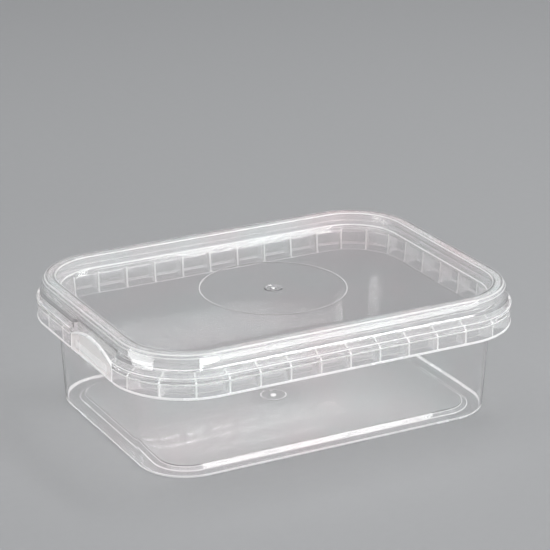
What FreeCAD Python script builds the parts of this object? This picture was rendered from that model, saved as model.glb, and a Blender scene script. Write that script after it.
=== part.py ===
import FreeCAD, Part
import math
import os

# Tamper-evident food container: a thin-walled tub and its press-on lid, each injection
# moulded in one piece from clear polypropylene.
#
# Millimetres, +Z up. The origin is on the table under the middle of the foot, +X runs
# along the long side and the tear tab is on the -X end.
#
# From above, every outline is one rounded rectangle drawn in by an offset, which is
# measured inwards from the outer face of the collar. A section is drawn as offset and
# height.

# Overall form
LENGTH = 186.0          # over the collar
WIDTH = 138.0           # over the collar
CORNER = 33.0           # corner radius of the collar's outer face
HEIGHT = 58.0           # table to the top of the lid's ridge

# Wall thicknesses
TUB_WALL = 0.6
FLOOR = 0.8
LID_WALL = 0.6
COLLAR_WALL = 1.0
WEB = 0.9               # web between the tub's wall and the collar, measured upright
RIB = 0.8

# Tub body
WALL_INSET = 6.87       # collar's outer face to the wall's outer face at the rim
DRAFT = 0.0615          # the wall moves in by this much for each millimetre downwards
FOOT_BAND = 6.6         # flat band that the tub stands on
RAMP = 2.4              # slope from the foot band up to the middle of the floor
FLOOR_RISE = 1.4        # underside of the middle of the floor above the table
SHOULDER_STEP = 0.8     # the wall steps out by this much at the bottom of the collar
SHOULDER_HEIGHT = 1.0
FOOT_ROUND = 1.6
FLOOR_BEVEL = 1.2

# Rim: an inverted channel along the top of the wall
RIM_WIDTH = 3.0
RIM_SKIRT = 4.2         # how far its free edge hangs below its top
RIM_FLARE = 0.5         # how far that edge stands outside the top
RIM_BEVEL = 0.5

# Collar: a skirt round the tub, on a sloping web, that guards the edge of the lid
COLLAR_DROP = 18.2      # top of the ridge to the bottom of the collar
COLLAR_HEIGHT = 9.5
LIP_DEPTH = 2.1         # how far the lip stands above the outer end of the web
WEB_RISE = 3.0          # how much higher the web is at the wall than at the collar
LIP_BAND = 2.9          # full-thickness band at the top of the collar
HEM_BAND = 0.7          # full-thickness band at the bottom of the collar
RELIEF = 0.25           # the face between the two bands is set back by this much
RELIEF_SLOPE = 0.4

# Ribs between the wall and the collar
LONG_RIB_PITCH = 13.9
SHORT_RIB_PITCH = 15.2
CORNER_RIBS = 3
CORNER_RIB_ANGLE = 27.0

# Lid
LID_FIT = 0.3           # clearance between the lid and the rim
LIP_GAP = 0.4           # clearance between the lid's edge and the lip
RIDGE_HEIGHT = 5.1      # panel to the top of the ridge: the depth of the stacking recess
STACK_GAP = 0.8         # room round the foot of another container in that recess
RIDGE_ROUND = 0.5
SKIRT_STEP = 0.3        # small step outwards below the ridge
SKIRT_STEP_DROP = 1.6
FLARE_ABOVE_LIP = 1.9   # the flare ends and the straight edge band starts
EDGE_BELOW_LIP = 0.4
BEAD_CATCH = 0.25       # how far the snap bead reaches in under the rim's free edge
BEAD_DROP = 0.5         # and how far below that edge it lies
BEAD_HALF_HEIGHT = 0.7

# Tear tab, in a gap in the collar
TAB_WIDTH = 41.5
TAB_FROM_CORNER = 0.6   # end of the tab to the start of the collar's corner
TAB_WALL = 0.8
TAB_BORDER = 0.35       # how far the border bead stands proud of the tab's face
TAB_BORDER_WIDTH = 1.3
TAB_END_RISE = -2.1     # top of the tab at its ends, from the top of the lip
TAB_ARCH = 4.8          # how far the top arches up in the middle
TAB_SLIT = 0.5
TAB_GAP = 0.3           # between the back of the tab and the web
TEAR_BRIDGES = 3
BRIDGE_WIDTH = 0.8
BRIDGE_HEIGHT = 0.5
FINGER_ROOM = 30.0      # behind this length of the tab there are no ribs

# Thumb recess in the lid's skirt, behind the tab
RECESS_CLEARANCE = 0.3  # between the recessed skirt and the rim
RECESS_LENGTH = 42.0
RECESS_END_SLOPE = 1.0
RECESS_DROP = 4.5       # top of the lid to the shelf over the recess

# Moulding marks
LID_CIRCLE_RADIUS = 32.0
CIRCLE_LINE = 0.5
CIRCLE_RAISE = 0.15
GATE_DIMPLE_RADIUS = 3.0
GATE_DIMPLE_DEPTH = 0.3
GATE_NUB_RADIUS = 1.4
GATE_NUB_HEIGHT = 0.25

# Heights and offsets that follow from these
RIM_TOP = HEIGHT - LID_WALL
FOOT_INSET = WALL_INSET + SHOULDER_STEP + DRAFT * RIM_TOP
RIM_OUTER = WALL_INSET + TUB_WALL - RIM_WIDTH
RIM_EDGE = RIM_OUTER - RIM_FLARE
LID_EDGE = COLLAR_WALL + LIP_GAP
RECESS_FACE = RIM_EDGE - RECESS_CLEARANCE - LID_WALL
PANEL_TOP = HEIGHT - RIDGE_HEIGHT
COLLAR_BOTTOM = HEIGHT - COLLAR_DROP
LIP_TOP = COLLAR_BOTTOM + COLLAR_HEIGHT
WEB_OUTER_TOP = LIP_TOP - LIP_DEPTH
WEB_INNER_TOP = WEB_OUTER_TOP + WEB_RISE
FLARE_BOTTOM = LIP_TOP + FLARE_ABOVE_LIP
LID_BOTTOM = LIP_TOP - EDGE_BELOW_LIP
TAB_END = CORNER + TAB_FROM_CORNER - WIDTH / 2
TAB_START = TAB_END + TAB_WIDTH
TAB_BACK = TAB_BORDER + TAB_WALL
OVERLAP = 0.3           # pieces of one solid run this far into each other before they fuse
SEAM = 2.0              # flat margin in a ring's section, where its middle panel joins it

UP = FreeCAD.Vector(0, 0, 1)
ORIGIN = FreeCAD.Vector(0, 0, 0)


def corner_arc(before, corner, after, radius):
    """Start, middle and end of the arc that rounds a corner, as small as its sides need."""
    to_before = before - corner
    to_after = after - corner
    half_angle = to_before.getAngle(to_after) / 2
    longest = 0.45 * min(to_before.Length, to_after.Length)
    reach = min(radius / math.tan(half_angle), longest)
    radius = reach * math.tan(half_angle)
    to_before.normalize()
    to_after.normalize()
    inwards = (to_before + to_after).normalize()
    middle = corner + inwards * (radius / math.sin(half_angle) - radius)
    return corner + to_before * reach, middle, corner + to_after * reach


def section(corners):
    """The flat face of a section: offset runs along -X and height along Z.

    A corner is (offset, height), or (offset, height, radius) where it is rounded, or
    (offset, height, size, "bevel") where a flat bevel takes the place of that round.
    """
    points = [FreeCAD.Vector(-corner[0], 0, corner[1]) for corner in corners]
    arcs = []
    for i, corner in enumerate(corners):
        following = points[(i + 1) % len(points)]
        if len(corner) == 2:
            arcs.append((points[i], points[i], points[i]))
        else:
            arcs.append(corner_arc(points[i - 1], points[i], following, corner[2]))
    edges = []
    for i, (start, middle, end) in enumerate(arcs):
        if len(corners[i]) == 3:
            edges.append(Part.Arc(start, middle, end).toShape())
        elif len(corners[i]) == 4:
            edges.append(Part.LineSegment(start, end).toShape())
        edges.append(Part.LineSegment(end, arcs[(i + 1) % len(arcs)][0]).toShape())
    return Part.Face(Part.Wire(edges))


def ring(face):
    """Carries a section once round the outline: straight sides and quarter-turn corners."""
    sides = ((LENGTH / 2, WIDTH / 2 - CORNER), (WIDTH / 2, LENGTH / 2 - CORNER))
    pieces = []
    for turn in range(4):
        reach, half_run = sides[turn % 2]
        profile = face.translated(FreeCAD.Vector(reach, -half_run, 0))
        straight = profile.extrude(FreeCAD.Vector(0, 2 * half_run, 0))
        profile.translate(FreeCAD.Vector(0, 2 * half_run, 0))
        corner = profile.revolve(FreeCAD.Vector(reach - CORNER, half_run, 0), UP, 90)
        for piece in (straight, corner):
            piece.rotate(ORIGIN, UP, 90 * turn)
            pieces.append(piece)
    return pieces[0].multiFuse(pieces[1:])


def outline_block(offset, bottom, top):
    """The solid inside the outline drawn in by an offset, between two heights."""
    half_x = LENGTH / 2 - offset
    half_y = WIDTH / 2 - offset
    radius = CORNER - offset
    block = Part.makeBox(
        2 * half_x, 2 * half_y, top - bottom, FreeCAD.Vector(-half_x, -half_y, bottom)
    )
    upright = [edge for edge in block.Edges if edge.BoundBox.ZLength > 0.5 * (top - bottom)]
    return block.makeFillet(radius, upright)


def disc(radius, bottom, top):
    return Part.makeCylinder(radius, top - bottom, FreeCAD.Vector(0, 0, bottom))


def raised_circle(radius, surface):
    """A fine raised line in a circle round the middle."""
    top = surface + CIRCLE_RAISE
    outer = disc(radius + CIRCLE_LINE / 2, surface - OVERLAP / 2, top)
    return outer.cut(disc(radius - CIRCLE_LINE / 2, surface - OVERLAP, top + OVERLAP))


def wall_offset(z):
    """Offset of the tub wall's outer face at a height above the shoulder."""
    return WALL_INSET + DRAFT * (RIM_TOP - z)


def web_top(offset):
    """Height of the sloping web's upper face."""
    run = wall_offset(WEB_INNER_TOP) - COLLAR_WALL
    return WEB_OUTER_TOP + WEB_RISE * (offset - COLLAR_WALL) / run


def tub_section():
    """The tub from the middle of the floor, up the inside, over the rim and the collar."""
    floor_top = FLOOR_RISE + FLOOR
    band_end = FOOT_INSET + FOOT_BAND
    panel_start = band_end + RAMP
    panel_end = panel_start + SEAM
    shoulder_top = COLLAR_BOTTOM + SHOULDER_HEIGHT
    low_wall = FOOT_INSET - DRAFT * COLLAR_BOTTOM
    high_wall = wall_offset(shoulder_top)
    rim_bottom = RIM_TOP - RIM_SKIRT
    under_rim = RIM_TOP - TUB_WALL
    lip_foot = LIP_TOP - LIP_BAND
    hem_top = COLLAR_BOTTOM + HEM_BAND
    inside = [
        (panel_end, floor_top),
        (panel_start, floor_top),
        (band_end, FLOOR),
        (FOOT_INSET + TUB_WALL, FLOOR, FLOOR_BEVEL, "bevel"),
        (low_wall + TUB_WALL, COLLAR_BOTTOM),
        (high_wall + TUB_WALL, shoulder_top),
        (WALL_INSET + TUB_WALL, RIM_TOP, RIM_BEVEL, "bevel"),
    ]
    rim = [
        (RIM_OUTER, RIM_TOP, RIM_BEVEL, "bevel"),
        (RIM_EDGE, rim_bottom),
        (RIM_EDGE + TUB_WALL, rim_bottom),
        (RIM_OUTER + TUB_WALL, under_rim),
        (wall_offset(under_rim), under_rim),
        (wall_offset(WEB_INNER_TOP), WEB_INNER_TOP),
    ]
    collar = [
        (COLLAR_WALL, WEB_OUTER_TOP),
        (COLLAR_WALL, LIP_TOP),
        (0, LIP_TOP),
        (0, lip_foot),
        (RELIEF, lip_foot - RELIEF_SLOPE),
        (RELIEF, hem_top + RELIEF_SLOPE),
        (0, hem_top),
        (0, COLLAR_BOTTOM),
        (COLLAR_WALL, COLLAR_BOTTOM),
        (COLLAR_WALL, WEB_OUTER_TOP - WEB),
        (wall_offset(WEB_INNER_TOP - WEB), WEB_INNER_TOP - WEB),
    ]
    outside = [
        (high_wall, shoulder_top),
        (low_wall, COLLAR_BOTTOM),
        (FOOT_INSET, 0, FOOT_ROUND),
        (band_end, 0),
        (panel_start, FLOOR_RISE),
        (panel_end, FLOOR_RISE),
    ]
    return section(inside + rim + collar + outside)


def floor_panel():
    """The raised middle of the floor, with the nub left by the gate."""
    edge = FOOT_INSET + FOOT_BAND + RAMP + SEAM - OVERLAP
    top = FLOOR_RISE + FLOOR
    panel = outline_block(edge, FLOOR_RISE, top)
    nub = disc(GATE_NUB_RADIUS, top - OVERLAP, top + GATE_NUB_HEIGHT)
    return panel.fuse(nub)


def rib(reach):
    """One rib from an offset in the collar to the wall, filling the space below the web."""
    low_wall = FOOT_INSET - DRAFT * COLLAR_BOTTOM
    shoulder_top = COLLAR_BOTTOM + SHOULDER_HEIGHT
    in_wall = TUB_WALL / 2
    in_web = WEB / 2
    wall_end = wall_offset(WEB_INNER_TOP) + in_wall
    face = section([
        (reach, COLLAR_BOTTOM),
        (low_wall + in_wall, COLLAR_BOTTOM),
        (wall_offset(shoulder_top) + in_wall, shoulder_top),
        (wall_end, web_top(wall_end) - in_web),
        (reach, web_top(reach) - in_web),
    ])
    face.translate(FreeCAD.Vector(0, -RIB / 2, 0))
    return face.extrude(FreeCAD.Vector(0, RIB, 0))


def place(shape, x, y, angle):
    """Puts a shape drawn at the collar's outer face on the outline, facing an angle."""
    shape.rotate(ORIGIN, UP, angle)
    shape.translate(FreeCAD.Vector(x, y, 0))
    return shape


def side_stations(half_run, pitch):
    """Places of the ribs along a straight side, counted out from its middle."""
    count = math.floor(half_run / pitch)
    return [pitch * i for i in range(-count, count + 1)]


def ribs():
    """Ribs along the four sides and fanned round the four corners."""
    half_x = LENGTH / 2
    half_y = WIDTH / 2
    in_collar = COLLAR_WALL / 2
    pieces = []
    for x in side_stations(half_x - CORNER, LONG_RIB_PITCH):
        pieces.append(place(rib(in_collar), x, half_y, 90))
        pieces.append(place(rib(in_collar), x, -half_y, -90))
    for y in side_stations(half_y - CORNER, SHORT_RIB_PITCH):
        pieces.append(place(rib(in_collar), half_x, y, 0))
        if y > TAB_START + TAB_SLIT:
            pieces.append(place(rib(in_collar), -half_x, y, 180))
        elif y < TAB_START - FINGER_ROOM:
            pieces.append(place(rib(TAB_BACK - OVERLAP), -half_x, y, 180))
    for quarter in range(4):
        for i in range(CORNER_RIBS):
            angle = 90 * quarter + 45 + CORNER_RIB_ANGLE * (i - (CORNER_RIBS - 1) / 2)
            across = math.cos(math.radians(angle))
            along = math.sin(math.radians(angle))
            x = math.copysign(half_x - CORNER, across) + CORNER * across
            y = math.copysign(half_y - CORNER, along) + CORNER * along
            pieces.append(place(rib(in_collar), x, y, angle))
    return pieces


def tab_plate(inset, outer, inner):
    """The tab's arched plate, drawn in at its edges, between two offsets."""
    start = TAB_START - inset
    end = TAB_END + inset
    bottom = COLLAR_BOTTOM + inset
    shoulder = LIP_TOP + TAB_END_RISE - inset
    face = -LENGTH / 2 + outer
    low_end = FreeCAD.Vector(face, end, bottom)
    low_start = FreeCAD.Vector(face, start, bottom)
    high_start = FreeCAD.Vector(face, start, shoulder)
    crown = FreeCAD.Vector(face, (start + end) / 2, shoulder + TAB_ARCH)
    high_end = FreeCAD.Vector(face, end, shoulder)
    wire = Part.Wire([
        Part.LineSegment(low_end, low_start).toShape(),
        Part.LineSegment(low_start, high_start).toShape(),
        Part.Arc(high_start, crown, high_end).toShape(),
        Part.LineSegment(high_end, low_end).toShape(),
    ])
    return Part.Face(wire).extrude(FreeCAD.Vector(inner - outer, 0, 0))


def tab_gap():
    """The gap that the tab fills in the collar: slits at its ends and behind it."""
    reach = TAB_BACK + TAB_GAP + 1
    corner = FreeCAD.Vector(-LENGTH / 2 - 1, TAB_END - TAB_SLIT, COLLAR_BOTTOM - 1)
    return Part.makeBox(reach, TAB_WIDTH + 2 * TAB_SLIT, COLLAR_HEIGHT + 2, corner)


def tab():
    """Tear tab: an arched plate with a raised border, and its thin tear bridges."""
    plate = tab_plate(0, 0, TAB_BACK).cut(tab_plate(TAB_BORDER_WIDTH, -1, TAB_BORDER))
    web_edge = TAB_BACK + TAB_GAP
    bridge_top = web_top(web_edge) - WEB / 4
    pieces = []
    for i in range(TEAR_BRIDGES):
        y = TAB_START - FINGER_ROOM * (i + 0.5) / TEAR_BRIDGES
        pieces.append(Part.makeBox(
            TAB_GAP + 2 * OVERLAP, BRIDGE_WIDTH, BRIDGE_HEIGHT,
            FreeCAD.Vector(
                -LENGTH / 2 + TAB_BACK - OVERLAP, y - BRIDGE_WIDTH / 2,
                bridge_top - BRIDGE_HEIGHT,
            ),
        ))
    return plate.fuse(pieces)


def make_tub():
    """Floor, wall, rim and collar in one ring, with the ribs and the tab fused in."""
    body = ring(tub_section()).fuse(floor_panel())
    body = body.cut(tab_gap())
    return body.fuse(ribs() + [tab()]).removeSplitter()


def lid_outer_form():
    """The solid under the lid's upper surface."""
    ridge_outer = RIM_OUTER - LID_FIT - LID_WALL
    ridge_inner = WALL_INSET + TUB_WALL + LID_FIT + LID_WALL
    panel_edge = FOOT_INSET - STACK_GAP
    flare_slope = (ridge_outer - SKIRT_STEP - LID_EDGE) / (HEIGHT - FLARE_BOTTOM)
    step_bottom = HEIGHT - SKIRT_STEP_DROP
    step_offset = LID_EDGE + flare_slope * (step_bottom - FLARE_BOTTOM)
    face = section([
        (panel_edge + SEAM, PANEL_TOP),
        (panel_edge, PANEL_TOP),
        (ridge_inner, HEIGHT, RIDGE_ROUND, "bevel"),
        (ridge_outer, HEIGHT, RIDGE_ROUND),
        (step_offset + SKIRT_STEP, step_bottom + SKIRT_STEP),
        (step_offset, step_bottom),
        (LID_EDGE, FLARE_BOTTOM),
        (LID_EDGE, LID_BOTTOM),
        (panel_edge + SEAM, LID_BOTTOM),
    ])
    middle = outline_block(panel_edge + SEAM - OVERLAP, LID_BOTTOM, PANEL_TOP)
    return ring(face).fuse(middle)


def lid_inner_form():
    """The space under the lid: its underside, with the snap bead left standing."""
    rim_inner = WALL_INSET + TUB_WALL
    edge = LID_EDGE + LID_WALL
    panel_under = PANEL_TOP - LID_WALL
    slope = (FOOT_INSET - STACK_GAP - rim_inner - LID_FIT - LID_WALL) / RIDGE_HEIGHT
    wall_foot = rim_inner + LID_FIT + slope * (RIM_TOP - panel_under)
    bead_middle = RIM_TOP - RIM_SKIRT - BEAD_DROP - BEAD_HALF_HEIGHT
    skirt_slope = (RIM_OUTER - LID_FIT - edge) / (RIM_TOP - FLARE_BOTTOM)
    bead_top = bead_middle + BEAD_HALF_HEIGHT
    bead_foot = bead_middle - BEAD_HALF_HEIGHT
    below = LID_BOTTOM - LID_WALL
    face = section([
        (wall_foot + SEAM, panel_under),
        (wall_foot, panel_under),
        (rim_inner + LID_FIT, RIM_TOP),
        (RIM_OUTER - LID_FIT, RIM_TOP),
        (edge + skirt_slope * (bead_top - FLARE_BOTTOM), bead_top),
        (RIM_EDGE + BEAD_CATCH, bead_middle),
        (edge, bead_foot),
        (edge, below),
        (wall_foot + SEAM, below),
    ])
    middle = outline_block(wall_foot + SEAM - OVERLAP, below, panel_under)
    return ring(face).fuse(middle)


def recess_prism(offset, spread):
    """What the thumb recess takes from the skirt: a block under a shelf, its ends sloped."""
    middle = (TAB_START + TAB_END) / 2
    half_inner = RECESS_LENGTH / 2 - RECESS_END_SLOPE + spread
    half_outer = half_inner + offset * RECESS_END_SLOPE / (RECESS_FACE - LID_EDGE)
    deep = -LENGTH / 2 + offset
    shallow = -LENGTH / 2
    bottom = LID_BOTTOM - 2 * LID_WALL
    corners = [
        FreeCAD.Vector(deep, middle - half_inner, bottom),
        FreeCAD.Vector(deep, middle + half_inner, bottom),
        FreeCAD.Vector(shallow, middle + half_outer, bottom),
        FreeCAD.Vector(shallow, middle - half_outer, bottom),
    ]
    wire = Part.makePolygon(corners + corners[:1])
    top = HEIGHT - RECESS_DROP + spread
    return Part.Face(wire).extrude(FreeCAD.Vector(0, 0, top - bottom))


def make_lid():
    """The lid's thin shell, with the thumb recess, the moulded circle and the gate dimple."""
    outer = lid_outer_form().cut(recess_prism(RECESS_FACE, 0))
    inner = lid_inner_form().cut(recess_prism(RECESS_FACE + LID_WALL, LID_WALL))
    shell = outer.cut(inner)
    dimple_floor = PANEL_TOP - GATE_DIMPLE_DEPTH
    under = PANEL_TOP - LID_WALL - GATE_DIMPLE_DEPTH
    boss = disc(GATE_DIMPLE_RADIUS + LID_WALL, under, PANEL_TOP - OVERLAP)
    nub = disc(GATE_NUB_RADIUS / 2, dimple_floor - OVERLAP / 2, PANEL_TOP)
    shell = shell.fuse([boss, raised_circle(LID_CIRCLE_RADIUS, PANEL_TOP)])
    shell = shell.cut(disc(GATE_DIMPLE_RADIUS, dimple_floor, PANEL_TOP + 1))
    return shell.fuse(nub).removeSplitter()


def save(name, shape):
    """Writes one sound solid under its node's name."""
    solids = shape.Solids
    if len(solids) != 1 or not solids[0].isValid():
        raise ValueError(f"{name} is not one sound solid")
    solids[0].exportStep(os.path.join("parts", name + ".step"))
    print(name, "volume", round(solids[0].Volume, 1), "faces", len(solids[0].Faces))


os.makedirs("parts", exist_ok=True)
save("tub", make_tub())
save("lid", make_lid())
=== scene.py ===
import math

import bmesh
import bpy
from mathutils import Matrix, Vector


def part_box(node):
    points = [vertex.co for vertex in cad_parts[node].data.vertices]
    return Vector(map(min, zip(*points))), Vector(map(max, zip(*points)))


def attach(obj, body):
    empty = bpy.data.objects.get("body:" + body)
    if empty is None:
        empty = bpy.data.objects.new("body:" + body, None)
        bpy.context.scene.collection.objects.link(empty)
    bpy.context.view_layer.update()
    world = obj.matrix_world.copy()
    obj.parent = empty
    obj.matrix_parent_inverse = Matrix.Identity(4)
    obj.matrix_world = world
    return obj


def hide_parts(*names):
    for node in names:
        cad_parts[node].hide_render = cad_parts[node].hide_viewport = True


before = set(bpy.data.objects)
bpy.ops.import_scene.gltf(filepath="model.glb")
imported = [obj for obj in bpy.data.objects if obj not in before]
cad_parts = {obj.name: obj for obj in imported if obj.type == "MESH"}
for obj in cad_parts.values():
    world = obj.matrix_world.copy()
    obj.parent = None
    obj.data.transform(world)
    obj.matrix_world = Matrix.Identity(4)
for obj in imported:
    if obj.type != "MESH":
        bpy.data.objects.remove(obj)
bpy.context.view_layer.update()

scene = bpy.context.scene


# Tub shell
# Floor, wall, rim, web and collar are one thin shell of clear polypropylene. It is
# injection moulded in one shot, through a gate in the middle of the floor.
tub_low, tub_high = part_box("tub")
length = tub_high.x - tub_low.x
width = tub_high.y - tub_low.y
rim_top = tub_high.z
corner = 0.033  # radius of the collar's outer face
tub_wall = 0.0006
collar_wall = 0.0010
web_thickness = 0.0009
wall_inset = 0.00687  # the collar's outer face to the wall's, at the rim
draft = 0.0615  # how far the wall moves in for each unit downwards
shoulder_step = 0.0008  # how far the wall steps out at the collar's bottom
shoulder_height = 0.0010
foot_band = 0.0066  # flat band that the tub stands on
ramp = 0.0024  # slope from that band up to the floor's panel
floor_rise = 0.0014  # underside of the floor's panel above the table
floor_wall = 0.0008
floor_top = floor_rise + floor_wall
rim_width = 0.0030
rim_skirt = 0.0042  # how far the rim's free edge hangs below its top
rim_flare = 0.0005  # how far that edge stands outside the top
collar_bottom = 0.0398
collar_height = 0.0095
lip_depth = 0.0021  # how far the lip stands above the web's outer end
lip_band = 0.0029  # full-thickness band at the collar's top
hem_band = 0.0007  # full-thickness band at the collar's bottom
web_rise = 0.0030  # how much higher the web is at the wall than at the collar
relief = 0.00025  # how far the collar's face is set back between its bands
relief_slope = 0.0004
foot_round = 0.0016
foot_inner_round = 0.0012
ramp_round = 0.0006
rim_inner_round = 0.0004
rim_outer_round = 0.0005
edge_round = 0.0003
band_round = 0.0002
thin_edge_round = 0.00015
foot_inset = wall_inset + shoulder_step + draft * rim_top
ramp_foot = foot_inset + foot_band
ramp_head = ramp_foot + ramp
low_wall = foot_inset - draft * collar_bottom
shoulder_top = collar_bottom + shoulder_height
rim_outer = wall_inset + tub_wall - rim_width
rim_edge = rim_outer - rim_flare
under_rim = rim_top - tub_wall
rim_skirt_end = rim_top - rim_skirt
lip_top = collar_bottom + collar_height
lip_foot = lip_top - lip_band
hem_top = collar_bottom + hem_band
web_outer_top = lip_top - lip_depth
web_inner_top = web_outer_top + web_rise
panel_inset = 0.0290  # where the swept ring ends and the flat panel starts
panel_round = 0.0120  # radius of the first full circle in the floor's panel
gate_circle_radius = 0.0056
gate_circle_rise = 0.00015
gate_nub = ((0.0021, 0.0), (0.0019, 0.0), (0.0016, 0.00018), (0.0012, 0.00024), (0.0006, 0.00025))
gate_hollow = ((0.0021, 0.0), (0.0019, 0.0), (0.0012, 0.0001), (0.0008, 0.0001))
clear_gate = 0.0110  # radius of the clearer plastic round the gate
tab_width = 0.0415
tab_from_corner = 0.0006  # end of the tab to the start of the collar's corner
tab_end = corner + tab_from_corner - width / 2
tab_start = tab_end + tab_width
tab_slit = 0.0005
tab_back = 0.00115  # the collar's outer face to the back of the tab
tab_gap = 0.0003  # between the back of the tab and the web
cut_margin = 0.001
outline_step = 0.0015  # spacing of the sections along an outline
bend_points = 48
arc_step = 0.00015  # spacing of the points on a rounded edge
line_step = 0.0002  # spacing of the circles that make a raised line
sharp_angle = math.radians(40.0)
tub_tint = (0.95, 0.945, 0.945)
# tint of the milky edge plastic, whose white also paints highlight lines along the edges
milk_and_highlight_tint = (0.97, 0.965, 0.965)


def flow_marks():
    """Faint clouds and ripples that the melt leaves as it flows out from the gate."""
    group = bpy.data.node_groups.new("Flow marks", "ShaderNodeTree")
    sockets = group.interface
    sockets.new_socket("Size", in_out="INPUT", socket_type="NodeSocketFloat").default_value = 25.0
    sockets.new_socket("Cloud", in_out="OUTPUT", socket_type="NodeSocketFloat")
    sockets.new_socket("Ripple", in_out="OUTPUT", socket_type="NodeSocketFloat")
    given = group.nodes.new("NodeGroupInput")
    result = group.nodes.new("NodeGroupOutput")
    place = group.nodes.new("ShaderNodeTexCoord")
    cloud = group.nodes.new("ShaderNodeTexNoise")
    cloud.inputs["Detail"].default_value = 3.0
    cloud.inputs["Roughness"].default_value = 0.55
    ripple = group.nodes.new("ShaderNodeTexNoise")
    ripple.inputs["Scale"].default_value = 60.0
    ripple.inputs["Detail"].default_value = 1.0
    ripple.inputs["Distortion"].default_value = 0.6
    group.links.new(given.outputs["Size"], cloud.inputs["Scale"])
    group.links.new(place.outputs["Object"], cloud.inputs["Vector"])
    group.links.new(place.outputs["Object"], ripple.inputs["Vector"])
    group.links.new(cloud.outputs["Fac"], result.inputs["Cloud"])
    group.links.new(ripple.outputs["Fac"], result.inputs["Ripple"])
    return group


flow_marks_group = flow_marks()


def clear_plastic(name, tint, milk, smooth, hazy, ripple_depth):
    """Clear polypropylene: transmission with a little milky body and soft flow marks.

    Lamps shine straight through it, as they do through thin clear walls.
    """
    material = bpy.data.materials.new(name)
    material.use_nodes = True
    nodes = material.node_tree.nodes
    links = material.node_tree.links
    nodes.clear()
    output = nodes.new("ShaderNodeOutputMaterial")
    plastic = nodes.new("ShaderNodeBsdfPrincipled")
    plastic.inputs["IOR"].default_value = 1.49
    plastic.inputs["Metallic"].default_value = 0.0
    plastic.inputs["Transmission Weight"].default_value = 1.0 - milk
    marks = nodes.new("ShaderNodeGroup")
    marks.node_tree = flow_marks_group
    marks.inputs["Size"].default_value = 22.0
    colour = nodes.new("ShaderNodeValToRGB")
    colour.color_ramp.elements[0].position = 0.35
    colour.color_ramp.elements[0].color = (tint[0], tint[1] * 0.975, tint[2] * 0.98, 1.0)
    colour.color_ramp.elements[1].position = 0.65
    colour.color_ramp.elements[1].color = (tint[0] * 0.982, tint[1], tint[2], 1.0)
    rough = nodes.new("ShaderNodeMapRange")
    rough.inputs["From Min"].default_value = 0.3
    rough.inputs["From Max"].default_value = 0.7
    rough.inputs["To Min"].default_value = smooth
    rough.inputs["To Max"].default_value = hazy
    bump = nodes.new("ShaderNodeBump")
    bump.inputs["Strength"].default_value = 0.2
    bump.inputs["Distance"].default_value = ripple_depth
    links.new(marks.outputs["Cloud"], colour.inputs["Fac"])
    links.new(marks.outputs["Cloud"], rough.inputs["Value"])
    links.new(marks.outputs["Ripple"], bump.inputs["Height"])
    links.new(colour.outputs["Color"], plastic.inputs["Base Color"])
    links.new(rough.outputs["Result"], plastic.inputs["Roughness"])
    links.new(bump.outputs["Normal"], plastic.inputs["Normal"])
    lamp_light = nodes.new("ShaderNodeBsdfTransparent")
    lamp_light.inputs["Color"].default_value = (0.9, 0.9, 0.9, 1.0)
    path = nodes.new("ShaderNodeLightPath")
    mix = nodes.new("ShaderNodeMixShader")
    links.new(path.outputs["Is Shadow Ray"], mix.inputs["Fac"])
    links.new(plastic.outputs["BSDF"], mix.inputs[1])
    links.new(lamp_light.outputs["BSDF"], mix.inputs[2])
    links.new(mix.outputs["Shader"], output.inputs["Surface"])
    return material


tub_plastic = clear_plastic(
    "tub_clear_plastic", tub_tint, milk=0.035, smooth=0.015, hazy=0.045, ripple_depth=0.00006
)
# Milky white plastic for the moulded edges: partly the milkier look of thicker plastic, partly
# painted highlight lines where light makes bright edges
tub_milk_and_highlight = clear_plastic(
    "tub_milky_edges_and_highlights", milk_and_highlight_tint, milk=0.75, smooth=0.20, hazy=0.30, ripple_depth=0.0001
)
tub_haze = clear_plastic(
    "tub_hazy_collar", tub_tint, milk=0.075, smooth=0.04, hazy=0.10, ripple_depth=0.00008
)


def wall_offset(z):
    """Offset of the tub wall's outer face, inwards from the collar, above the shoulder."""
    return wall_inset + draft * (rim_top - z)


def rounded(corners):
    """Points of a section whose corners (offset, height, radius) are rounded into arcs."""
    points = []
    for i, (offset, z, radius) in enumerate(corners):
        here = Vector((offset, z))
        if radius == 0:
            points.append(here)
            continue
        back = Vector(corners[i - 1][:2]) - here
        ahead = Vector(corners[(i + 1) % len(corners)][:2]) - here
        half_angle = back.angle(ahead) / 2
        reach = min(radius / math.tan(half_angle), 0.45 * min(back.length, ahead.length))
        radius = reach * math.tan(half_angle)
        to_centre = (back.normalized() + ahead.normalized()).normalized()
        centre = here + to_centre * radius / math.sin(half_angle)
        first = (here + back.normalized() * reach - centre).normalized()
        last = (here + ahead.normalized() * reach - centre).normalized()
        steps = max(3, round(radius / arc_step))
        for step in range(steps + 1):
            points.append(centre + first.slerp(last, step / steps) * radius)
    return points


def new_tree(name, shape, numbers, counts=()):
    """A geometry tree that takes a shape, numbers, counts and a plastic."""
    tree = bpy.data.node_groups.new(name, "GeometryNodeTree")
    sockets = tree.interface
    sockets.new_socket(shape, in_out="INPUT", socket_type="NodeSocketGeometry")
    for number in numbers:
        sockets.new_socket(number, in_out="INPUT", socket_type="NodeSocketFloat")
    for count in counts:
        sockets.new_socket(count, in_out="INPUT", socket_type="NodeSocketInt")
    sockets.new_socket("Plastic", in_out="INPUT", socket_type="NodeSocketMaterial")
    sockets.new_socket("Mesh", in_out="OUTPUT", socket_type="NodeSocketGeometry")
    return tree, tree.nodes.new("NodeGroupInput")


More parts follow.
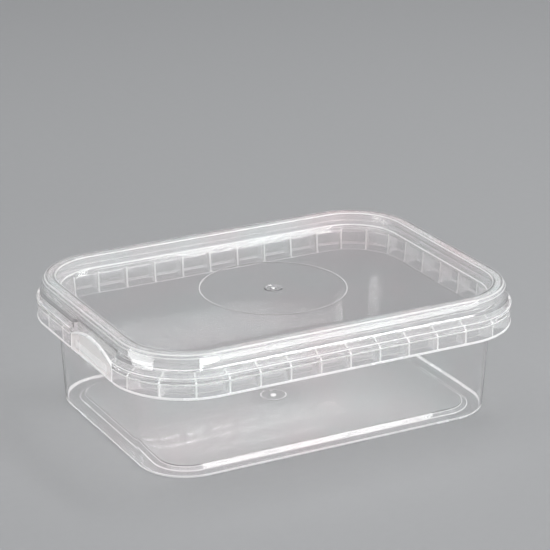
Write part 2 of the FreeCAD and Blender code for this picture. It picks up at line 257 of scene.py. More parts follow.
def end_tree(tree, given, shape):
    """Ends a tree with real faces in the plastic that it was given."""
    realize = tree.nodes.new("GeometryNodeRealizeInstances")
    paint = tree.nodes.new("GeometryNodeSetMaterial")
    result = tree.nodes.new("NodeGroupOutput")
    tree.links.new(shape, realize.inputs["Geometry"])
    tree.links.new(realize.outputs["Geometry"], paint.inputs["Geometry"])
    tree.links.new(given.outputs["Plastic"], paint.inputs["Material"])
    tree.links.new(paint.outputs["Geometry"], result.inputs["Mesh"])
    return tree


def moulded_ring_tree():
    """Sweeps a section round a rounded rectangle, which is what every outline here is."""
    tree, given = new_tree("Moulded ring", "Section", ("Length", "Width", "Corner radius", "Step"))
    outline = tree.nodes.new("GeometryNodeCurvePrimitiveQuadrilateral")
    bends = tree.nodes.new("GeometryNodeFilletCurve")
    bends.mode = "POLY"
    bends.inputs["Count"].default_value = bend_points
    stations = tree.nodes.new("GeometryNodeResampleCurve")
    stations.mode = "LENGTH"
    upright = tree.nodes.new("GeometryNodeSetCurveNormal")
    upright.mode = "Z_UP"
    sweep = tree.nodes.new("GeometryNodeCurveToMesh")
    link = tree.links.new
    link(given.outputs["Length"], outline.inputs["Width"])
    link(given.outputs["Width"], outline.inputs["Height"])
    link(outline.outputs["Curve"], bends.inputs["Curve"])
    link(given.outputs["Corner radius"], bends.inputs["Radius"])
    link(bends.outputs["Curve"], stations.inputs["Curve"])
    link(given.outputs["Step"], stations.inputs["Length"])
    link(stations.outputs["Curve"], upright.inputs["Curve"])
    link(upright.outputs["Curve"], sweep.inputs["Curve"])
    link(given.outputs["Section"], sweep.inputs["Profile Curve"])
    return end_tree(tree, given, sweep.outputs["Mesh"])


def grown(name, source, tree, values):
    """Runs a geometry tree on a source object and returns what it makes as a plain mesh."""
    scene.collection.objects.link(source)
    modifier = source.modifiers.new(tree.name, "NODES")
    modifier.node_group = tree
    for item in tree.interface.items_tree:
        if item.in_out == "INPUT" and item.name in values:
            modifier[item.identifier] = values[item.name]
    graph = bpy.context.evaluated_depsgraph_get()
    mesh = bpy.data.meshes.new_from_object(source.evaluated_get(graph))
    mesh.name = name
    source.modifiers.clear()
    bpy.data.objects.remove(source)
    return mesh


ring_tree = moulded_ring_tree()


def moulded_ring(name, points, plastic):
    """The open ring that a section makes; its ends are left for the middle panel."""
    curve = bpy.data.curves.new(name + "_section", "CURVE")
    curve.dimensions = "3D"
    spline = curve.splines.new("POLY")
    spline.points.add(len(points) - 1)
    for point, (offset, z) in zip(spline.points, points):
        point.co = (-offset, -z, 0.0, 1.0)
    section = bpy.data.objects.new(name + "_section", curve)
    sizes = {
        "Length": length,
        "Width": width,
        "Corner radius": corner,
        "Step": outline_step,
        "Plastic": plastic,
    }
    return grown(name, section, ring_tree, sizes)


def raised_line(radius, rise):
    """Circles (radius, rise) of a fine line that stands up from a panel in the round."""
    profile = ((3, 0.0), (2, 0.0), (1, 0.8), (0, 1.0), (-1, 0.8), (-2, 0.0), (-3, 0.0))
    return [(radius + line_step * steps, rise * share) for steps, share in profile]


def close_panel(shell, level, circles):
    """Fills the ring's open edge at one level with a panel that has circles (radius, rise)."""
    rim = {v for edge in shell.edges if edge.is_boundary for v in edge.verts}
    open_edge = [v for v in rim if abs(v.co.z - level) < 1e-6]
    loop = sorted(open_edge, key=lambda v: math.atan2(v.co.y, v.co.x))
    angles = [math.atan2(v.co.y, v.co.x) for v in loop]
    for radius, rise in circles:
        inner = []
        for angle in angles:
            place = (radius * math.cos(angle), radius * math.sin(angle), level + rise)
            inner.append(shell.verts.new(place))
        for i in range(len(loop)):
            shell.faces.new((loop[i - 1], loop[i], inner[i], inner[i - 1]))
        loop = inner
    shell.faces.new(loop)


def cut_gap(mesh, low, high):
    """Takes a box-shaped gap out of a closed mesh."""
    low = Vector(low)
    high = Vector(high)
    box = bmesh.new()
    place = Matrix.Translation((low + high) / 2) @ Matrix.Diagonal((*(high - low), 1.0))
    bmesh.ops.create_cube(box, size=1.0, matrix=place)
    box_mesh = bpy.data.meshes.new("gap")
    box.to_mesh(box_mesh)
    box.free()
    tool = bpy.data.objects.new("gap", box_mesh)
    blank = bpy.data.objects.new("blank", mesh)
    scene.collection.objects.link(tool)
    scene.collection.objects.link(blank)
    cut = blank.modifiers.new("gap", "BOOLEAN")
    cut.operation = "DIFFERENCE"
    cut.solver = "EXACT"
    cut.object = tool
    graph = bpy.context.evaluated_depsgraph_get()
    result = bmesh.new()
    result.from_object(blank, graph)
    result.to_mesh(mesh)
    result.free()
    bpy.data.objects.remove(blank)
    bpy.data.objects.remove(tool)


def section_place(point):
    """Offset from the collar's outline and height, which is where a point lies on a section."""
    across = abs(point.x) - (length / 2 - corner)
    along = abs(point.y) - (width / 2 - corner)
    if across > 0 and along > 0:
        return Vector((corner - math.hypot(across, along), point.z))
    return Vector((corner - max(across, along), point.z))


def by_place(lines, circles, hazy):
    """Chooses a plastic for a face by its place on the section.

    1, the milky one, is near a moulded edge (offset, height, reach) or on a small circle
    (radius, reach), where its white paints a highlight line as well as milkier plastic;
    2, the hazy one, is where hazy says so; the rest is 0, the clear one.
    """
    places = [(Vector((offset, z)), reach) for offset, z, reach in lines]

    def choose(face):
        middle = face.calc_center_median()
        here = section_place(middle)
        if any((here - place).length < reach for place, reach in places):
            return 1
        if any(abs(middle.xy.length - radius) < reach for radius, reach in circles):
            return 1
        return 2 if hazy(middle, here) else 0

    return choose


def finished(name, mesh, plastics, choose=None):
    """Makes a mesh one closed, smooth-shaded piece of the given plastics."""
    mesh.materials.clear()
    for plastic in plastics:
        mesh.materials.append(plastic)
    shell = bmesh.new()
    shell.from_mesh(mesh)
    bmesh.ops.recalc_face_normals(shell, faces=shell.faces)
    for face in shell.faces:
        face.material_index = choose(face) if choose else 0
    shell.to_mesh(mesh)
    shell.free()
    mesh.shade_smooth()
    mesh.set_sharp_from_angle(angle=sharp_angle)
    piece = bpy.data.objects.new(name, mesh)
    scene.collection.objects.link(piece)
    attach(piece, "root")
    return piece


tub_section = rounded([
    (panel_inset, floor_top, 0.0),
    (ramp_head, floor_top, ramp_round),
    (ramp_foot, floor_wall, ramp_round),
    (foot_inset + tub_wall, floor_wall, foot_inner_round),
    (low_wall + tub_wall, collar_bottom, edge_round),
    (low_wall + tub_wall - shoulder_step, shoulder_top, edge_round),
    (wall_inset + tub_wall, rim_top, rim_inner_round),
    (rim_outer, rim_top, rim_outer_round),
    (rim_edge, rim_skirt_end, thin_edge_round),
    (rim_edge + tub_wall, rim_skirt_end, thin_edge_round),
    (rim_outer + tub_wall, under_rim, edge_round),
    (wall_offset(under_rim), under_rim, edge_round),
    (wall_offset(web_inner_top), web_inner_top, edge_round),
    (collar_wall, web_outer_top, edge_round),
    (collar_wall, lip_top, band_round),
    (0.0, lip_top, edge_round),
    (0.0, lip_foot, band_round),
    (relief, lip_foot - relief_slope, band_round),
    (relief, hem_top + relief_slope, band_round),
    (0.0, hem_top, band_round),
    (0.0, collar_bottom, edge_round),
    (collar_wall, collar_bottom, edge_round),
    (collar_wall, web_outer_top - web_thickness, edge_round),
    (wall_offset(web_inner_top), web_inner_top - web_thickness, edge_round),
    (low_wall - shoulder_step, shoulder_top, edge_round),
    (low_wall, collar_bottom, edge_round),
    (foot_inset, 0.0, foot_round),
    (ramp_foot, 0.0, ramp_round),
    (ramp_head, floor_rise, ramp_round),
    (panel_inset, floor_rise, 0.0),
])
tub_mesh = moulded_ring("tub_shell", tub_section, tub_plastic)
shell = bmesh.new()
shell.from_mesh(tub_mesh)
gate_circle = raised_line(gate_circle_radius, gate_circle_rise)
close_panel(shell, floor_top, [(panel_round, 0.0), *gate_circle, *gate_nub])
close_panel(shell, floor_rise, [(panel_round, 0.0), *gate_hollow])
shell.to_mesh(tub_mesh)
shell.free()
cut_gap(
    tub_mesh,
    (-length / 2 - cut_margin, tab_end - tab_slit, collar_bottom - cut_margin),
    (-length / 2 + tab_back + tab_gap, tab_start + tab_slit, lip_top + cut_margin),
)
# Bands round these moulded edges, the gate circle and the gate are painted milky white: partly
# milkier thick plastic, partly painted highlight lines
tub_highlight_lines = [
    (foot_inset + 0.0003, 0.0006, 0.0009),
    (ramp_foot, 0.0, 0.0003),
    (ramp_foot, floor_wall, 0.0003),
    (ramp_head, floor_rise, 0.0002),
    (0.0, collar_bottom, 0.0003),
    (collar_wall, collar_bottom, 0.0003),
    (0.0, hem_top + 0.0002, 0.0003),
    (0.0, lip_foot, 0.0003),
    (0.0, lip_top, 0.0003),
    (collar_wall, lip_top, 0.0003),
    (collar_wall, web_outer_top - web_thickness, 0.0004),
    (wall_offset(web_inner_top), web_inner_top, 0.0004),
    (low_wall, collar_bottom, 0.0003),
]
tub_highlight_circles = [(gate_circle_radius, 0.00025), (0.0, 0.0010)]


def hazy_tub(middle, here):
    """The collar, and the floor's panel outside the clear plastic round the gate."""
    on_panel = here.x > ramp_head + 0.0005 and middle.xy.length > clear_gate
    return here.y > collar_bottom or on_panel


tub_choice = by_place(tub_highlight_lines, tub_highlight_circles, hazy_tub)
tub_shell = finished(
    "tub_shell", tub_mesh, (tub_plastic, tub_milk_and_highlight, tub_haze), tub_choice
)
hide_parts("tub")

# Ribs
# Thin upright ribs under the web join the collar to the wall and stiffen the guard round
# the lid's edge. They are moulded with the tub.
rib_thickness = 0.0008
rib_bevel = 0.0001
long_rib_pitch = 0.0139
short_rib_pitch = 0.0152
long_rib_count = 9
short_rib_count = 5
corner_rib_angle = math.radians(27.0)
finger_room = 0.030  # behind this length of the tab there are no ribs
sunk = 0.0001  # how far a small piece reaches into the one that carries it
rib_edge_area = 1.0e-5  # faces of a rib below this are its edges
rib_plastic = clear_plastic(
    "rib_plastic", tub_tint, milk=0.24, smooth=0.05, hazy=0.10, ripple_depth=0.0001
)
# Milky white plastic for the ribs' narrow edges: partly milkier plastic, partly painted highlight
# lines
rib_milk_and_highlight = clear_plastic(
    "rib_milky_edges_and_highlights", milk_and_highlight_tint, milk=0.68, smooth=0.15, hazy=0.25, ripple_depth=0.0001
)


def rib_rows():
    """Copies one rib along each side and in a fan round each corner, from named sizes."""
    numbers = ("Length", "Width", "Corner radius", "Long pitch", "Short pitch", "Corner angle")
    tree, given = new_tree("Rib rows", "Rib", numbers, ("Long count", "Short count"))
    link = tree.links.new

    def fed(node, *values):
        for socket, value in zip(node.inputs, values):
            if isinstance(value, (int, float)):
                socket.default_value = value
            else:
                link(value, socket)
        return node.outputs[0]

    def maths(operation, a, b):
        node = tree.nodes.new("ShaderNodeMath")
        node.operation = operation
        return fed(node, a, b)

    def vector(x, y, z):
        return fed(tree.nodes.new("ShaderNodeCombineXYZ"), x, y, z)

    def instances(points, turn):
        node = tree.nodes.new("GeometryNodeInstanceOnPoints")
        link(points, node.inputs["Points"])
        link(given.outputs["Rib"], node.inputs["Instance"])
        link(turn, node.inputs["Rotation"])
        return node.outputs["Instances"]

    half_length = maths("MULTIPLY", given.outputs["Length"], 0.5)
    half_width = maths("MULTIPLY", given.outputs["Width"], 0.5)
    join = tree.nodes.new("GeometryNodeJoinGeometry")
    sides = (
        (half_length, "Short count", "Short pitch", 0),
        (half_width, "Long count", "Long pitch", 1),
        (half_length, "Short count", "Short pitch", 2),
        (half_width, "Long count", "Long pitch", 3),
    )
    for reach, count, pitch, turn in sides:
        run = maths("MULTIPLY", maths("SUBTRACT", given.outputs[count], 1.0), given.outputs[pitch])
        line = tree.nodes.new("GeometryNodeMeshLine")
        link(given.outputs[count], line.inputs["Count"])
        link(vector(reach, maths("MULTIPLY", run, -0.5), 0.0), line.inputs["Start Location"])
        link(vector(0.0, given.outputs[pitch], 0.0), line.inputs["Offset"])
        turned = tree.nodes.new("GeometryNodeTransform")
        turned.inputs["Rotation"].default_value = (0.0, 0.0, turn * math.pi / 2)
        link(instances(line.outputs["Mesh"], vector(0.0, 0.0, 0.0)), turned.inputs["Geometry"])
        link(turned.outputs["Geometry"], join.inputs["Geometry"])
    centre_x = maths("SUBTRACT", half_length, given.outputs["Corner radius"])
    centre_y = maths("SUBTRACT", half_width, given.outputs["Corner radius"])
    for quarter in range(4):
        sign_x = 1.0 if quarter in (0, 3) else -1.0
        sign_y = 1.0 if quarter in (0, 1) else -1.0
        centre = vector(
            maths("MULTIPLY", centre_x, sign_x), maths("MULTIPLY", centre_y, sign_y), 0.0
        )
        for step in (-1, 0, 1):
            spread = maths("MULTIPLY", given.outputs["Corner angle"], step)
            angle = maths("ADD", spread, math.pi / 4 + quarter * math.pi / 2)
            point = tree.nodes.new("GeometryNodeMeshLine")
            point.inputs["Count"].default_value = 1
            link(vector(given.outputs["Corner radius"], 0.0, 0.0), point.inputs["Start Location"])
            fan = tree.nodes.new("GeometryNodeTransform")
            link(instances(point.outputs["Mesh"], vector(0.0, 0.0, 0.0)), fan.inputs["Geometry"])
            link(vector(0.0, 0.0, angle), fan.inputs["Rotation"])
            link(centre, fan.inputs["Translation"])
            link(fan.outputs["Geometry"], join.inputs["Geometry"])
    return end_tree(tree, given, join.outputs["Geometry"])


def web_under(offset):
    """Height of the sloping web's lower face."""
    run = wall_offset(web_inner_top) - collar_wall
    return web_outer_top - web_thickness + web_rise * (offset - collar_wall) / run


def plate(outline, thickness, bevel):
    """A thin plate with eased edges, from an outline in offset and height."""
    solid = bmesh.new()
    side = [solid.verts.new((-offset, -thickness / 2, z)) for offset, z in outline]
    face = solid.faces.new(side)
    pushed = bmesh.ops.extrude_face_region(solid, geom=[face])
    moved = [v for v in pushed["geom"] if isinstance(v, bmesh.types.BMVert)]
    bmesh.ops.translate(solid, verts=moved, vec=(0.0, thickness, 0.0))
    bmesh.ops.recalc_face_normals(solid, faces=solid.faces)
    bmesh.ops.bevel(
        solid, geom=solid.edges[:], offset=bevel, segments=2, affect="EDGES", profile=0.5
    )
    mesh = bpy.data.meshes.new("plate")
    solid.to_mesh(mesh)
    solid.free()
    return mesh


rib_outline = [
    (collar_wall - sunk, collar_bottom + sunk),
    (low_wall + sunk, collar_bottom + sunk),
    (low_wall - shoulder_step + sunk, shoulder_top),
    (wall_offset(web_inner_top) + sunk, web_under(wall_offset(web_inner_top)) + sunk),
    (collar_wall - sunk, web_under(collar_wall) + sunk),
]
rib_seed = bpy.data.objects.new("rib_seed", plate(rib_outline, rib_thickness, rib_bevel))
rib_sizes = {
    "Length": length,
    "Width": width,
    "Corner radius": corner,
    "Long pitch": long_rib_pitch,
    "Short pitch": short_rib_pitch,
    "Corner angle": corner_rib_angle,
    "Long count": long_rib_count,
    "Short count": short_rib_count,
    "Plastic": rib_plastic,
}
rib_mesh = grown("tub_ribs", rib_seed, rib_rows(), rib_sizes)
kept = bmesh.new()
kept.from_mesh(rib_mesh)
behind_tab = [
    v for v in kept.verts
    if v.co.x < -length / 2 + foot_inset and tab_start - finger_room < v.co.y < tab_start
]
bmesh.ops.delete(kept, geom=behind_tab, context="VERTS")
kept.to_mesh(rib_mesh)
kept.free()


def rib_choice(face):
    """Chooses the milky plastic for a rib's narrow edge faces, which paints a highlight on them.
    """
    return 1 if face.calc_area() < rib_edge_area else 0


ribs = finished("tub_ribs", rib_mesh, (rib_plastic, rib_milk_and_highlight), rib_choice)
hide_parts("tub")

# Tear tab
# An arched plate in the gap of the collar, frosted and ribbed for grip, with a raised
# border. Thin bridges hold it to the web until it is torn off.
tab_border = 0.00035
tab_border_width = 0.0013
tab_end_drop = 0.0021  # the lip's top to the tab's top at its ends
tab_shoulder = lip_top - tab_end_drop
tab_arch = 0.0048
tab_middle = (tab_start + tab_end) / 2
bead_steepness = 1.6  # how much steeper the border is towards the edge
milky_highlight_share = 0.7  # share of the border that is milky white, partly a painted highlight
tab_tint = (0.98, 0.955, 0.945)
tab_plastic = clear_plastic(
    "tab_frosted_plastic", tab_tint, milk=0.46, smooth=0.20, hazy=0.34, ripple_depth=0.0002
)


def arch_height(y):
    """Top of the tab: a circular arc over its width."""
    half = tab_width / 2
    radius = (half ** 2 + tab_arch ** 2) / (2 * tab_arch)
    return tab_shoulder + tab_arch - radius + math.sqrt(radius ** 2 - (y - tab_middle) ** 2)


def border_sink(from_edge):
    """How far the face lies back: a bead that rises from the edge and rounds to the field."""
    across = min(1.0, from_edge / tab_border_width)
    swell = math.sqrt(max(0.0, 1.0 - (2 * across - 1) ** 2))
    if across < 0.5:
        swell = min(1.0, bead_steepness * swell)
    return tab_border * (1.0 - swell)


def tab_solid(columns=84, rows=22):
    """The tab: a face with a border bead round a sunken field, and a flat back."""
    grid = bmesh.new()
    front = []
    back = []
    for i in range(columns + 1):
        y = tab_end + tab_width * i / columns
        top = arch_height(y)
        front_column = []
        back_column = []
        for j in range(rows + 1):
            z = collar_bottom + (top - collar_bottom) * j / rows
            from_edge = min(y - tab_end, tab_start - y, z - collar_bottom, top - z)
            sink = border_sink(from_edge)
            front_column.append(grid.verts.new((-length / 2 + sink, y, z)))
            back_column.append(grid.verts.new((-length / 2 + tab_back, y, z)))
        front.append(front_column)
        back.append(back_column)
    for i in range(columns):
        for j in range(rows):
            grid.faces.new((front[i][j], front[i][j + 1], front[i + 1][j + 1], front[i + 1][j]))
            grid.faces.new((back[i][j], back[i + 1][j], back[i + 1][j + 1], back[i][j + 1]))
    for i in range(columns):
        grid.faces.new((front[i][0], front[i + 1][0], back[i + 1][0], back[i][0]))
        grid.faces.new((front[i][-1], back[i][-1], back[i + 1][-1], front[i + 1][-1]))
    for j in range(rows):
        grid.faces.new((front[0][j], back[0][j], back[0][j + 1], front[0][j + 1]))
        grid.faces.new((front[-1][j], front[-1][j + 1], back[-1][j + 1], back[-1][j]))
    mesh = bpy.data.meshes.new("tear_tab")
    grid.to_mesh(mesh)
    grid.free()
    return mesh


def tab_choice(face):
    """Chooses the milky plastic for the border bead that runs round the tab, a painted highlight
    along it.
    """
    middle = face.calc_center_median()
    sides = min(middle.y - tab_end, tab_start - middle.y)
    ends = min(middle.z - collar_bottom, arch_height(middle.y) - middle.z)
    return 1 if min(sides, ends) < tab_border_width * milky_highlight_share else 0


tear_tab = finished("tear_tab", tab_solid(), (tab_plastic, tub_milk_and_highlight), tab_choice)
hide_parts("tub")

# Grip ridges and tear bridges
# Fine upright ridges on the tab's field give the fingers a hold. The bridges behind it
# are the only plastic that joins the tab to the web.
ridge_count = 23
ridge_pitch = 0.0014
ridge_depth = 0.00028
ridge_width = 0.0007
ridge_ease = 0.0004
ridge_bevel = 0.0001
ridge_bottom = collar_bottom + 0.0024
ridge_top = tab_shoulder - 0.0016
bridge_count = 3
bridge_pitch = finger_room / bridge_count
bridge_width = 0.0008
bridge_height = 0.0005
bridge_bevel = 0.00005
bridge_high = web_outer_top - sunk
bridge_low = bridge_high - bridge_height


def row_along_y():
    """A straight row of one piece, with a count, a first place and a pitch along Y."""
    tree, given = new_tree("Row along Y", "Piece", ("First", "Pitch"), ("Count",))
    start = tree.nodes.new("ShaderNodeCombineXYZ")
    step = tree.nodes.new("ShaderNodeCombineXYZ")
    line = tree.nodes.new("GeometryNodeMeshLine")
    copies = tree.nodes.new("GeometryNodeInstanceOnPoints")
    link = tree.links.new
    link(given.outputs["First"], start.inputs["Y"])
    link(given.outputs["Pitch"], step.inputs["Y"])
    link(given.outputs["Count"], line.inputs["Count"])
    link(start.outputs["Vector"], line.inputs["Start Location"])
    link(step.outputs["Vector"], line.inputs["Offset"])
    link(line.outputs["Mesh"], copies.inputs["Points"])
    link(given.outputs["Piece"], copies.inputs["Instance"])
    return end_tree(tree, given, copies.outputs["Instances"])


row_tree = row_along_y()
tab_field = length / 2 - tab_border
ridge_side = [
    (tab_field + ridge_depth, ridge_bottom + ridge_ease),
    (tab_field - sunk, ridge_bottom),
    (tab_field - sunk, ridge_top),
    (tab_field + ridge_depth, ridge_top - ridge_ease),
]
ridge_seed = bpy.data.objects.new("ridge_seed", plate(ridge_side, ridge_width, ridge_bevel))
# The ridges are made in the milky edge plastic, which paints them as bright highlight streaks
ridge_sizes = {
    "Count": ridge_count,
    "First": tab_middle - ridge_pitch * (ridge_count - 1) / 2,
    "Pitch": ridge_pitch,
    "Plastic": rib_milk_and_highlight,
}
ridge_mesh = grown("tab_ridges", ridge_seed, row_tree, ridge_sizes)
ridges = finished("tab_ridges", ridge_mesh, (rib_milk_and_highlight,))
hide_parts("tub")
bridge_tab_end = length / 2 - tab_back + sunk
bridge_web_end = length / 2 - tab_back - tab_gap - sunk
bridge_side = [
    (bridge_tab_end, bridge_low),
    (bridge_web_end, bridge_low),
    (bridge_web_end, bridge_high),
    (bridge_tab_end, bridge_high),
]
bridge_seed = bpy.data.objects.new("bridge_seed", plate(bridge_side, bridge_width, bridge_bevel))
bridge_sizes = {
    "Count": bridge_count,
    "First": tab_start - finger_room + bridge_pitch / 2,
    "Pitch": bridge_pitch,
    "Plastic": tub_plastic,
}
bridge_mesh = grown("tear_bridges", bridge_seed, row_tree, bridge_sizes)
bridges = finished("tear_bridges", bridge_mesh, (tub_plastic,))
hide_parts("tub")

# Lid
# A thinner shell of the same clear plastic: a flat panel sunk inside a hollow ridge that
# fits over the rim, and a flared skirt whose edge hides inside the collar's lip.
lid_low, lid_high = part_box("lid")
height = lid_high.z
lid_bottom = lid_low.z
lid_wall = 0.0006
lid_fit = 0.0003  # clearance between the lid and the rim
lip_gap = 0.0004  # clearance between the lid's edge and the lip
lid_edge = collar_wall + lip_gap
ridge_height = 0.0051  # depth of the stacking recess
stack_gap = 0.0008  # room round the foot of a container stacked on it
panel_top = height - ridge_height
panel_under = panel_top - lid_wall
panel_edge = foot_inset - stack_gap
panel_edge_round = 0.0005
ridge_inner_round = 0.0006
ridge_outer_round = 0.0007
under_panel_round = 0.0004
ridge_outer = rim_outer - lid_fit - lid_wall
ridge_inner = wall_inset + tub_wall + lid_fit + lid_wall
flare_above_lip = 0.0019
flare_bottom = lip_top + flare_above_lip
flare_pieces = 4  # the skirt can bend in so many pieces at the recess
skirt_step = 0.0003
skirt_step_drop = 0.0016
step_bottom = height - skirt_step_drop
bead_catch = 0.00025  # how far the bead reaches in under the rim's free edge
bead_drop = 0.0005
bead_half = 0.0007
bead_middle = rim_skirt_end - bead_drop - bead_half
bead_tip = rim_edge + bead_catch
recess_drop = 0.0045  # the lid's top to the shelf over the thumb recess
recess_top = height - recess_drop
recess_length = 0.042
recess_end_slope = 0.001
recess_face = rim_edge - lid_fit - lid_wall
shelf_under = recess_top + lid_wall
shelf_edge = 0.00015
lid_circle_radius = 0.0320
lid_circle_rise = 0.0001
lid_circle_margin = 0.0020
dimple = (
    (0.0044, 0.0), (0.0036, 0.0), (0.0032, -0.00006), (0.0028, -0.00026), (0.0024, -0.0003),
)
dimple_nub = ((0.0016, -0.0003), (0.0013, -0.00026), (0.0010, -0.00008), (0.0006, 0.0))
dimple_under = (
    (0.0044, 0.0), (0.0040, 0.0), (0.0036, -0.00024), (0.0030, -0.0003), (0.0004, -0.0003),
)
lid_tint = (0.955, 0.95, 0.95)
lid_plastic = clear_plastic(
    "lid_clear_plastic", lid_tint, milk=0.035, smooth=0.01, hazy=0.035, ripple_depth=0.00007
)
# Milky white plastic for the lid's moulded edges: partly milkier plastic, partly painted highlight
# lines
lid_milk_and_highlight = clear_plastic(
    "lid_milky_edges_and_highlights", milk_and_highlight_tint, milk=0.60, smooth=0.15, hazy=0.25, ripple_depth=0.0001
)
lid_haze = clear_plastic(
    "lid_hazy_ridge", lid_tint, milk=0.065, smooth=0.015, hazy=0.04, ripple_depth=0.00012
)


def flare_offset(z):
    """Offset of the skirt's outer face between its edge band and the step."""
    slope = (ridge_outer - skirt_step - lid_edge) / (height - flare_bottom)
    return lid_edge + slope * max(0.0, z - flare_bottom)


def steps_between(start, end):
    """Points in between two corners, so that a face there can bend."""
    start = Vector(start)
    end = Vector(end)
    middle = [start.lerp(end, i / flare_pieces) for i in range(1, flare_pieces)]
    return [(point.x, point.y, 0.0) for point in middle]


step_offset = flare_offset(step_bottom)
shelf_corner = (flare_offset(recess_top), recess_top)
flare_corner = (lid_edge, flare_bottom)
edge_corner = (lid_edge, lid_bottom)
inner_edge_corner = (lid_edge + lid_wall, lid_bottom)
bead_foot = (lid_edge + lid_wall, bead_middle - bead_half)
lid_section = rounded([
    (panel_inset, panel_top, 0.0),
    (panel_edge, panel_top, panel_edge_round),
    (ridge_inner, height, ridge_inner_round),
    (ridge_outer, height, ridge_outer_round),
    (step_offset + skirt_step, step_bottom + skirt_step, band_round),
    (step_offset, step_bottom, band_round),
    (flare_offset(recess_top + shelf_edge), recess_top + shelf_edge, 0.0),
    (*shelf_corner, 0.0),
    *steps_between(shelf_corner, flare_corner),
    (*flare_corner, edge_round),
    *steps_between(flare_corner, edge_corner),
    (*edge_corner, band_round),
    (*inner_edge_corner, band_round),
    *steps_between(inner_edge_corner, bead_foot),
    (*bead_foot, 0.0),
    (bead_tip, bead_middle, band_round),
    (flare_offset(bead_middle + bead_half) + lid_wall, bead_middle + bead_half, 0.0),
    (flare_offset(shelf_under - shelf_edge) + lid_wall, shelf_under - shelf_edge, 0.0),
    (flare_offset(shelf_under) + lid_wall, shelf_under, 0.0),
    (rim_outer - lid_fit, rim_top, edge_round),
    (wall_inset + tub_wall + lid_fit, rim_top, edge_round),
    (panel_edge - lid_wall, panel_under, under_panel_round),
    (panel_inset, panel_under, 0.0),
])
lid_mesh = moulded_ring("lid", lid_section, lid_plastic)
shell = bmesh.new()
shell.from_mesh(lid_mesh)
around_circle = (lid_circle_radius + lid_circle_margin, 0.0)
lid_circle = raised_line(lid_circle_radius, lid_circle_rise)
close_panel(shell, panel_top, [around_circle, *lid_circle, *dimple, *dimple_nub])
close_panel(shell, panel_under, [around_circle, *dimple_under])
for vertex in shell.verts:
    from_middle = abs(vertex.co.y - tab_middle)
    offset = vertex.co.x + length / 2
    outer_face = flare_offset(vertex.co.z)
    if offset > outer_face + lid_wall + 1e-5 or from_middle > recess_length / 2:
        continue
    share = min(1.0, (recess_length / 2 - from_middle) / recess_end_slope)
    inside = offset > outer_face + lid_wall / 2
    face = recess_face + lid_wall if inside else recess_face
    top = shelf_under - shelf_edge if inside else recess_top
    if vertex.co.z < top + 1e-6 and face > offset:
        vertex.co.x += (face - offset) * share
shell.to_mesh(lid_mesh)
shell.free()
# Bands round these lid edges, the raised circle and the dimple are painted milky white: partly
# milkier plastic, partly painted highlight lines
lid_highlight_lines = [
    (panel_edge, panel_top, 0.0003),
    (ridge_inner, height, 0.0005),
    (ridge_outer, height, 0.0005),
    (step_offset, step_bottom, 0.0003),
    (lid_edge, flare_bottom, 0.0003),
    (ridge_inner, rim_top, 0.0003),
]
lid_highlight_circles = [(lid_circle_radius, 0.00013), (0.0, 0.0011)]


def hazy_lid(middle, here):
    """The ridge and the skirt, which is all that lies outside the panel."""
    return here.x < panel_edge - lid_wall


lid_choice = by_place(lid_highlight_lines, lid_highlight_circles, hazy_lid)
lid = finished(
    "lid_shell", lid_mesh, (lid_plastic, lid_milk_and_highlight, lid_haze), lid_choice
)
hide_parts("lid")

# Studio
# The table is one plain pale sheet that turns up into a backdrop, painted matte. Large
# soft lamps hang over and beside it, and the camera stands in front, to the left.
floor_colour = (0.32, 0.325, 0.33)
backdrop_turn = 0.45
backdrop_start = 1.0
backdrop_height = 2.5
backdrop_steps = 16
floor_half = 2.2
table_top = -0.00005  # just clear of the foot


def plain_matte(name, colour):
    """A matte studio surface with a faint grain."""
    material = bpy.data.materials.new(name)
    material.use_nodes = True
    nodes = material.node_tree.nodes
    shader = nodes["Principled BSDF"]
    shader.inputs["Roughness"].default_value = 0.7
    grain = nodes.new("ShaderNodeTexNoise")
    grain.inputs["Scale"].default_value = 900.0
    tone = nodes.new("ShaderNodeMapRange")
    tone.inputs["To Min"].default_value = 0.985
    tone.inputs["To Max"].default_value = 1.015
    mix = nodes.new("ShaderNodeMix")
    mix.data_type = "RGBA"
    mix.blend_type = "MULTIPLY"
    mix.inputs["Factor"].default_value = 1.0
    mix.inputs["A"].default_value = (*colour, 1.0)
    material.node_tree.links.new(grain.outputs["Fac"], tone.inputs["Value"])
    material.node_tree.links.new(tone.outputs["Result"], mix.inputs["B"])
    material.node_tree.links.new(mix.outputs["Result"], shader.inputs["Base Color"])
    return material


table = bmesh.new()
rows = [(-floor_half, table_top), (backdrop_start, table_top)]
for i in range(1, backdrop_steps + 1):
    angle = math.pi / 2 * i / backdrop_steps
    rows.append((
        backdrop_start + backdrop_turn * math.sin(angle),
        table_top + backdrop_turn * (1 - math.cos(angle)),
    ))
rows.append((backdrop_start + backdrop_turn, backdrop_height))
lines = []
for y, z in rows:
    lines.append([table.verts.new((x, y, z)) for x in (-floor_half, floor_half)])
for near, far in zip(lines, lines[1:]):
    table.faces.new((near[0], near[1], far[1], far[0]))
table_mesh = bpy.data.meshes.new("table")
table.to_mesh(table_mesh)
table.free()
table_mesh.shade_smooth()
table_mesh.materials.append(plain_matte("table_matte", floor_colour))
floor = bpy.data.objects.new("table", table_mesh)
scene.collection.objects.link(floor)

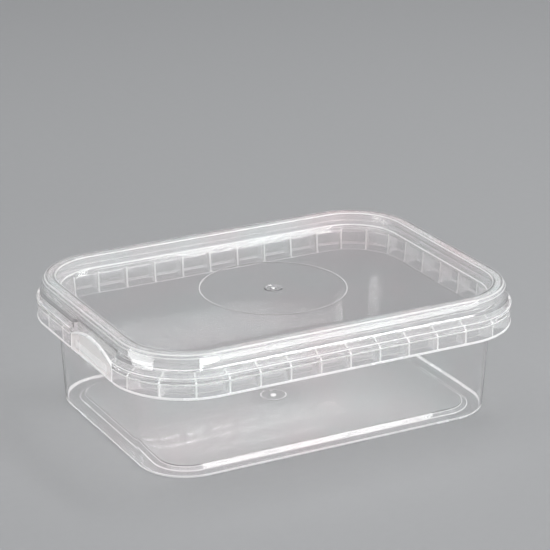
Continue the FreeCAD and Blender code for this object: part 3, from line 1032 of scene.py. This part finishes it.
world = bpy.data.worlds.new("studio")
scene.world = world
world.use_nodes = True
world.node_tree.nodes["Background"].inputs["Color"].default_value = (0.97, 0.97, 1.0, 1.0)
world.node_tree.nodes["Background"].inputs["Strength"].default_value = 0.5


def soft_lamp(name, place, aim, size, power):
    """A rectangular softbox aimed at a point."""
    data = bpy.data.lights.new(name, "AREA")
    data.shape = "RECTANGLE"
    data.size = size[0]
    data.size_y = size[1]
    data.energy = power
    lamp = bpy.data.objects.new(name, data)
    lamp.location = place
    lamp.rotation_mode = "QUATERNION"
    lamp.rotation_quaternion = (Vector(aim) - Vector(place)).to_track_quat("-Z", "Y")
    scene.collection.objects.link(lamp)
    return lamp


foot_middle = (0.0, 0.0, 0.0)
object_middle = (0.0, 0.0, 0.05)
soft_lamp("overhead", (0.0, 0.15, 1.4), foot_middle, size=(1.6, 1.2), power=9.0)
soft_lamp("overhead_strip", (0.62, 0.16, 1.25), foot_middle, size=(0.9, 0.30), power=6.0)
soft_lamp("front_strip", (0.145, -1.276, 0.30), object_middle, size=(0.62, 0.17), power=5.2)
soft_lamp("front_strip_end", (0.68, -1.11, 0.30), object_middle, size=(0.55, 0.17), power=2.0)
soft_lamp("left_strip", (-1.15, 0.08, 0.15), object_middle, size=(0.95, 0.18), power=3.6)

camera_data = bpy.data.cameras.new("camera")
camera_data.lens = 153.5
camera_data.sensor_width = 36.0
camera_data.clip_start = 0.05
camera_data.clip_end = 20.0
azimuth = math.radians(-27.98)
elevation = math.radians(20.47)
distance = 1.0346
aim = Vector((0.0097, 0.0166, 0.0515))
back = Vector((
    math.sin(azimuth) * math.cos(elevation),
    -math.cos(azimuth) * math.cos(elevation),
    math.sin(elevation),
))
camera = bpy.data.objects.new("camera", camera_data)
camera.location = aim + back * distance
camera.rotation_mode = "QUATERNION"
camera.rotation_quaternion = back.to_track_quat("Z", "Y")
scene.collection.objects.link(camera)
scene.camera = camera
scene.view_settings.view_transform = "Standard"
scene.cycles.max_bounces = 32
scene.cycles.transmission_bounces = 32
scene.cycles.transparent_max_bounces = 64
